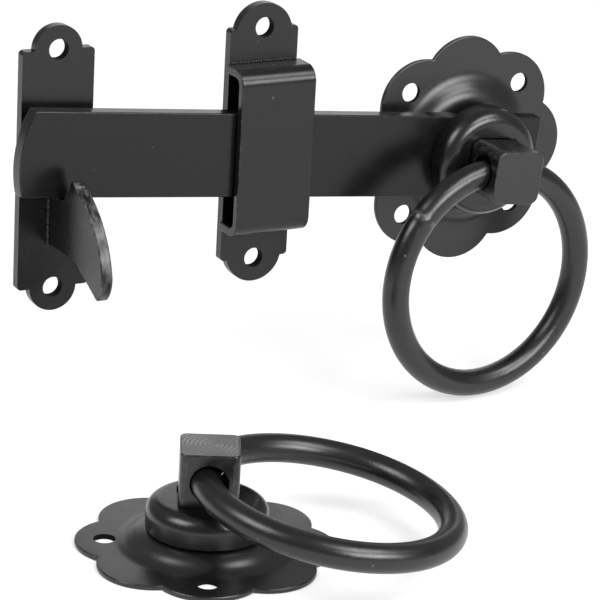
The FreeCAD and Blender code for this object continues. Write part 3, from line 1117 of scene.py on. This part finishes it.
@dataclass
class Handle:
    """A ring handle: the collar, the block that carries the ring, and the ring itself."""

    SIDEWAYS = 0.95
    finishes: Finishes
    effects: Effects
    name: str
    place: Matrix
    base: float
    body: Body
    pull: Body
    ring_turn: Matrix
    ring_hang: float
    facing_depth: float = 0.00012
    # The end's tone: lighter than the coat, with painted light added; this default is the outside
    # handle's upward end, lit as if by the light above.
    end_tone_with_painted_light: float = 0.12
    joint_angle: float = 90.0
    joint_reach: float = 1.6
    burr: float = 0.0
    collar_radius: float = 16.5
    collar_height: float = 8.5
    collar_foot: float = 0.5
    shoulder: float = 4.2
    recess: float = 1.0
    well_play: float = 0.7
    well_height: float = 4.0
    well_drop: float = 0.05
    side: float = 16.0
    length: float = 16.0
    corner: float = 2.0
    corner_steps: int = 5
    block_edge: float = 0.45
    eye: float = 9.9
    eye_mouth: float = 0.5
    facing_centre: Triple = (0.4, -0.6, 0.0)
    tail_radius: float = 7.0
    tail_end: float = 1.2
    tail_bite: float = 0.5
    tail_steps: int = 96
    swage: float = 1.2
    swage_height: float = 1.0
    swage_round: float = 0.3
    socket: float = 8.0
    socket_depth: float = 10.0
    socket_drop: float = 0.01
    ring_radius: float = 33.5
    ring_steps: int = 200
    wire: float = 4.0
    wire_steps: int = 40

    @property
    def head(self) -> float:
        """Where the block's head starts, out from the gate."""
        return self.base + self.collar_height - self.recess

    def build(self) -> None:
        """Make the collar, the block and the ring, and dress the washer behind them."""
        coats = self.finishes
        Workshop.finish(f"{self.name}_collar_piece", self.collar(), self.place, [coats.handle],
                        f"{self.name}_collar", self.body, Slot.HANDLE)
        Workshop.finish(f"{self.name}_block_piece", self.block(), self.place,
                        [coats.handle, coats.bore, self.faced()],
                        f"{self.name}_block", self.body, Slot.HANDLE)
        hung = Matrix.Translation((0, 0, self.head + self.length / 2)) @ self.ring_turn
        hung = self.place @ hung @ Matrix.Translation((0, -self.ring_hang, 0))
        Workshop.finish(f"{self.name}_ring_piece", self.ring(), hung, [coats.ring],
                        f"{self.name}_ring", self.pull, Slot.RING)
        Workshop.dress(f"{self.name}_washer", coats.handle)

    def faced(self) -> Material:
        """Build the finish of the block's end: a tone lighter than the coat, with painted light
        added, most on an end that faces up.

        Returns:
            The material.
        """
        spot = self.place @ Vector(self.facing_centre)
        # The tone carries painted light on top of the end's own lighter shade.
        coat = Coat(f"{self.name}_end_coat", (self.end_tone_with_painted_light,) * 3, roughness=0.26, dust=0.8,
                    peel=0.1)
        faced = FacedCoat(coat, spot * MM, tuple(self.place.to_euler()), depth=self.facing_depth)
        return faced.make(self.effects)

    @staticmethod
    def stands_out(edge: bmesh.types.BMEdge) -> bool:
        """Say whether an edge of a block runs out from the gate."""
        return abs((edge.verts[0].co - edge.verts[1].co).z) > TOUCHING

    def collar(self) -> Shape:
        """Turn the collar and sink the square recess that the block sits in.

        Returns:
            The collar.
        """
        wall = self.collar_height - self.shoulder
        flat = self.collar_radius - self.shoulder
        foot = self.collar_radius - self.collar_foot
        path = Outline(0, 0).to(foot, 0).turn(foot, self.collar_foot, 90)
        path.to(self.collar_radius, wall).turn(flat, wall, 90).to(0, self.collar_height)
        collar = Shape.turned(path).move(Matrix.Translation((0, 0, self.base)))
        well, middle = self.side + self.well_play, self.head + self.well_height / 2 - self.well_drop
        sunk = Shape.block(Vector((well, well, self.well_height)), Vector((0, 0, middle)))
        sunk.soften(self.corner, self.corner_steps, self.stands_out)
        return collar.cut(sunk)

    def block(self) -> Shape:
        """Make the head with the ring's eye, on its tail.

        Returns:
            The block.
        """
        middle = Vector((0, 0, self.head + self.length / 2))
        head = Shape.block(Vector((self.side, self.side, self.length)), middle)
        head.soften(self.corner, self.corner_steps, self.stands_out)
        across = Matrix.Translation(middle) @ rotation(90, "Y")
        head.cut(Shape.rod(self.eye / 2, DRILL, across))
        head.soften(self.block_edge)
        top, mouth = self.head + self.length - TOUCHING, self.eye / 2 + self.eye_mouth
        head.paint(lambda face: min(vert.co.z for vert in face.verts) > top, Layer.END)
        head.paint(lambda face: abs(face.normal.x) < self.SIDEWAYS
                   and (face.calc_center_median() - middle).yz.length < mouth, Layer.BORE)
        return head.add(self.tail())

    def tail(self) -> Shape:
        """Turn the tail with its swaged end, and sink the spindle's socket into it.

        Returns:
            The tail.
        """
        low, high = self.tail_end, self.head + self.tail_bite
        lip, rim = low + self.swage_height, self.tail_radius + self.swage
        flat = rim - self.swage_round
        path = Outline(0, low).to(flat, low).turn(flat, low + self.swage_round, 90)
        path.to(rim, lip).to(self.tail_radius, lip).to(self.tail_radius, high).to(0, high)
        middle = low + self.socket_depth / 2 - self.socket_drop
        hollow = Shape.block(Vector((self.socket, self.socket, self.socket_depth)),
                             Vector((0, 0, middle)))
        return Shape.turned(path, self.tail_steps).cut(hollow)

    def ring(self) -> Shape:
        """Sweep the round rod into a ring, with the mark and the burr of its joint.

        Returns:
            The ring, flat about its own middle.
        """
        ring = Shape()
        bmesh.ops.create_circle(ring.mesh, segments=self.wire_steps, radius=self.wire,
                                matrix=Matrix.Translation((self.ring_radius, 0, 0)) @ AGAINST_GATE)
        ring.spin(self.ring_steps)
        self.raise_burr(ring)
        worn = ring.mesh.loops.layers.float.new(EDGE_LAYER)
        for face in ring.mesh.faces:
            for loop in face.loops:
                loop[worn] = self.by_joint(face.calc_center_median())
        return ring

    def by_joint(self, spot: Vector) -> float:
        """Say how near a spot is to the ring's joint.

        Args:
            spot: a place on the ring.

        Returns:
            1 at the joint, falling to 0 along the ring.
        """
        off = abs(math.atan2(spot.y, spot.x) - math.radians(self.joint_angle)) * self.ring_radius
        return max(0.0, 1 - off / self.joint_reach)

    def raise_burr(self, ring: Shape) -> None:
        """Raise the burr that the joint leaves on the outer front of the ring.

        Args:
            ring: the flat ring.
        """
        for vert in ring.mesh.verts:
            outward = Vector((vert.co.x, vert.co.y, 0)).normalized()
            out = (vert.co - outward * self.ring_radius).normalized()
            lean = max(0.0, out.dot((outward + Vector((0, 0, 1))).normalized()))
            vert.co += out * self.burr * lean * self.by_joint(vert.co)


@dataclass
class Studio:
    """The floor, the light and the camera."""

    floor_height: float = -71.0
    floor_size: float = 3000.0
    floor_tone: float = 0.52
    floor_glow: float = 0.54
    world_glow: float = 0.3
    middle: Triple = (-65.0, -40.0, -10.0)
    lens: float = 184.25
    eye: Triple = (-482.46, -758.29, 262.62)
    yaw: float = 29.562
    pitch: float = 19.323
    roll: float = 3.225

    def build(self) -> None:
        """Lay the floor, hang the lights and set up the camera."""
        self.floor()
        self.lights()
        self.camera()
        bpy.context.scene.view_settings.view_transform = "Standard"

    def floor(self) -> None:
        """Lay a plain white floor that keeps soft shadows."""
        plane = Shape()
        bmesh.ops.create_grid(plane.mesh, x_segments=1, y_segments=1, size=self.floor_size,
                              matrix=Matrix.Translation((0, 0, self.floor_height)))
        plane.move(Matrix.Scale(MM, 4))
        floor = plane.as_object("floor")
        material = bpy.data.materials.new("floor_white")
        material.use_nodes = True
        kit, nodes = NodeKit(material.node_tree), material.node_tree.nodes
        surface = nodes["Principled BSDF"]
        kit.feed(surface, {"Base Color": (*(self.floor_tone,) * 3, 1), "Roughness": 0.9,
                           "Specular IOR Level": 0.1})
        rays = kit.node("ShaderNodeLightPath").outputs
        seen = kit.math("MAXIMUM", rays["Is Camera Ray"], rays["Is Glossy Ray"])
        seen = kit.math("MAXIMUM", seen, rays["Is Transmission Ray"])
        strength = kit.math("MULTIPLY", seen, self.floor_glow)
        glow = kit.node("ShaderNodeEmission", {"Color": (1, 1, 1, 1), "Strength": strength})
        both = kit.node("ShaderNodeAddShader",
                        {0: surface.outputs["BSDF"], 1: glow.outputs["Emission"]})
        kit.feed(nodes["Material Output"], {"Surface": both.outputs["Shader"]})
        floor.data.materials.append(material)

    def lights(self) -> None:
        """Set a soft white world and hang the soft boxes."""
        world = bpy.data.worlds.new("studio")
        world.use_nodes = True
        bpy.context.scene.world = world
        NodeKit(world.node_tree).feed(world.node_tree.nodes["Background"], {
            "Color": (1, 1, 1, 1), "Strength": self.world_glow})
        self.lamp("left_box", (-0.9, -0.05, 0.8), (0.6, 0.5), 6.5)
        self.lamp("high_box", (0.28, -0.68, 0.95), (0.75, 0.4), 7.0)
        self.lamp("front_box", (0.25, -1.15, 0.55), (0.85, 0.42), 12.0)
        self.lamp("back_box", (0.5, 1.1, 0.4), (1.2, 0.7), 2.2)

    def lamp(self, name: str, spot: Triple, size: Pair, power: float) -> None:
        """Hang one soft box that faces the latch.

        Args:
            name: the lamp's name.
            spot: where it hangs, in metres.
            size: the width and height of its face, in metres.
            power: its power in watts.
        """
        data = bpy.data.lights.new(name, "AREA")
        data.shape = "RECTANGLE"
        data.size, data.size_y = size
        data.energy = power
        lamp = bpy.data.objects.new(name, data)
        lamp.location = spot
        aim = Vector(self.middle) * MM - Vector(spot)
        lamp.rotation_euler = aim.to_track_quat("-Z", "Y").to_euler()
        bpy.context.scene.collection.objects.link(lamp)

    def camera(self) -> None:
        """Set the camera at the photograph's angle."""
        data = bpy.data.cameras.new("camera")
        data.lens = self.lens
        data.sensor_width = 36
        data.clip_start = 0.05
        camera = bpy.data.objects.new("camera", data)
        turn = rotation(-self.yaw, "Z") @ rotation(90 - self.pitch, "X") @ rotation(self.roll, "Z")
        camera.matrix_world = Matrix.Translation(Vector(self.eye) * MM) @ turn
        bpy.context.scene.collection.objects.link(camera)
        bpy.context.scene.camera = camera


@dataclass
class GateLatch:
    """The whole latch set: the keep, the staple, the latch handle and the outside handle."""

    keep: Vector = Vector((-135.5, 0, 7.0))
    staple: Vector = Vector((-70.7, 0, 8.5))
    bar_rest: float = 5.7
    outside_seat: float = 5.8
    outside: Vector = Vector((-131.5, -96.3, -71.0))
    outside_turn: float = 63.7
    outside_rose_turn: float = 19.0
    latch_twist: float = 5.1
    latch_hang: float = 33.13
    outside_lean: float = 6.5
    outside_dip: float = 9.5
    outside_hang: float = 32.57

    def build(self) -> None:
        """Make every piece of the latch in its place."""
        effects = Effects()
        finishes = Finishes.make(effects)
        Keep(finishes, self.keep).build()
        Staple(finishes, self.staple).build()
        Rose(finishes, "latch_rose", AGAINST_GATE).build()
        lifted = rotation(self.bar_rest, "Y") @ AGAINST_GATE
        bar = LatchBar(finishes, lifted)
        bar.build()
        twist = rotation(self.latch_twist, "Y")
        # The latch's end faces the front and gets a darker copy of the end tone than the outside
        # handle's upward end, whose lighter tone is painted light.
        Handle(finishes, effects, "latch", lifted, bar.back + bar.thickness, Body.LATCH,
               Body.LATCH_PULL, twist, self.latch_hang, facing_depth=0.00002, end_tone_with_painted_light=0.022,
               corner=2.8, joint_angle=145.8, burr=0.55).build()
        spot = Matrix.Translation(self.outside)
        Rose(finishes, "outside_rose", spot @ rotation(self.outside_rose_turn, "Z")).build()
        dip = rotation(self.outside_dip, "X") @ rotation(-self.outside_lean, "Z")
        Handle(finishes, effects, "outside", spot @ rotation(self.outside_turn, "Z"),
               self.outside_seat, Body.OUTSIDE, Body.OUTSIDE_PULL, dip, self.outside_hang).build()


def main() -> None:
    """Build the latch set and its studio."""
    logging.basicConfig(level=logging.INFO, format="%(name)s: %(message)s")
    GateLatch().build()
    Studio().build()


if __name__ == "__main__":
    main()
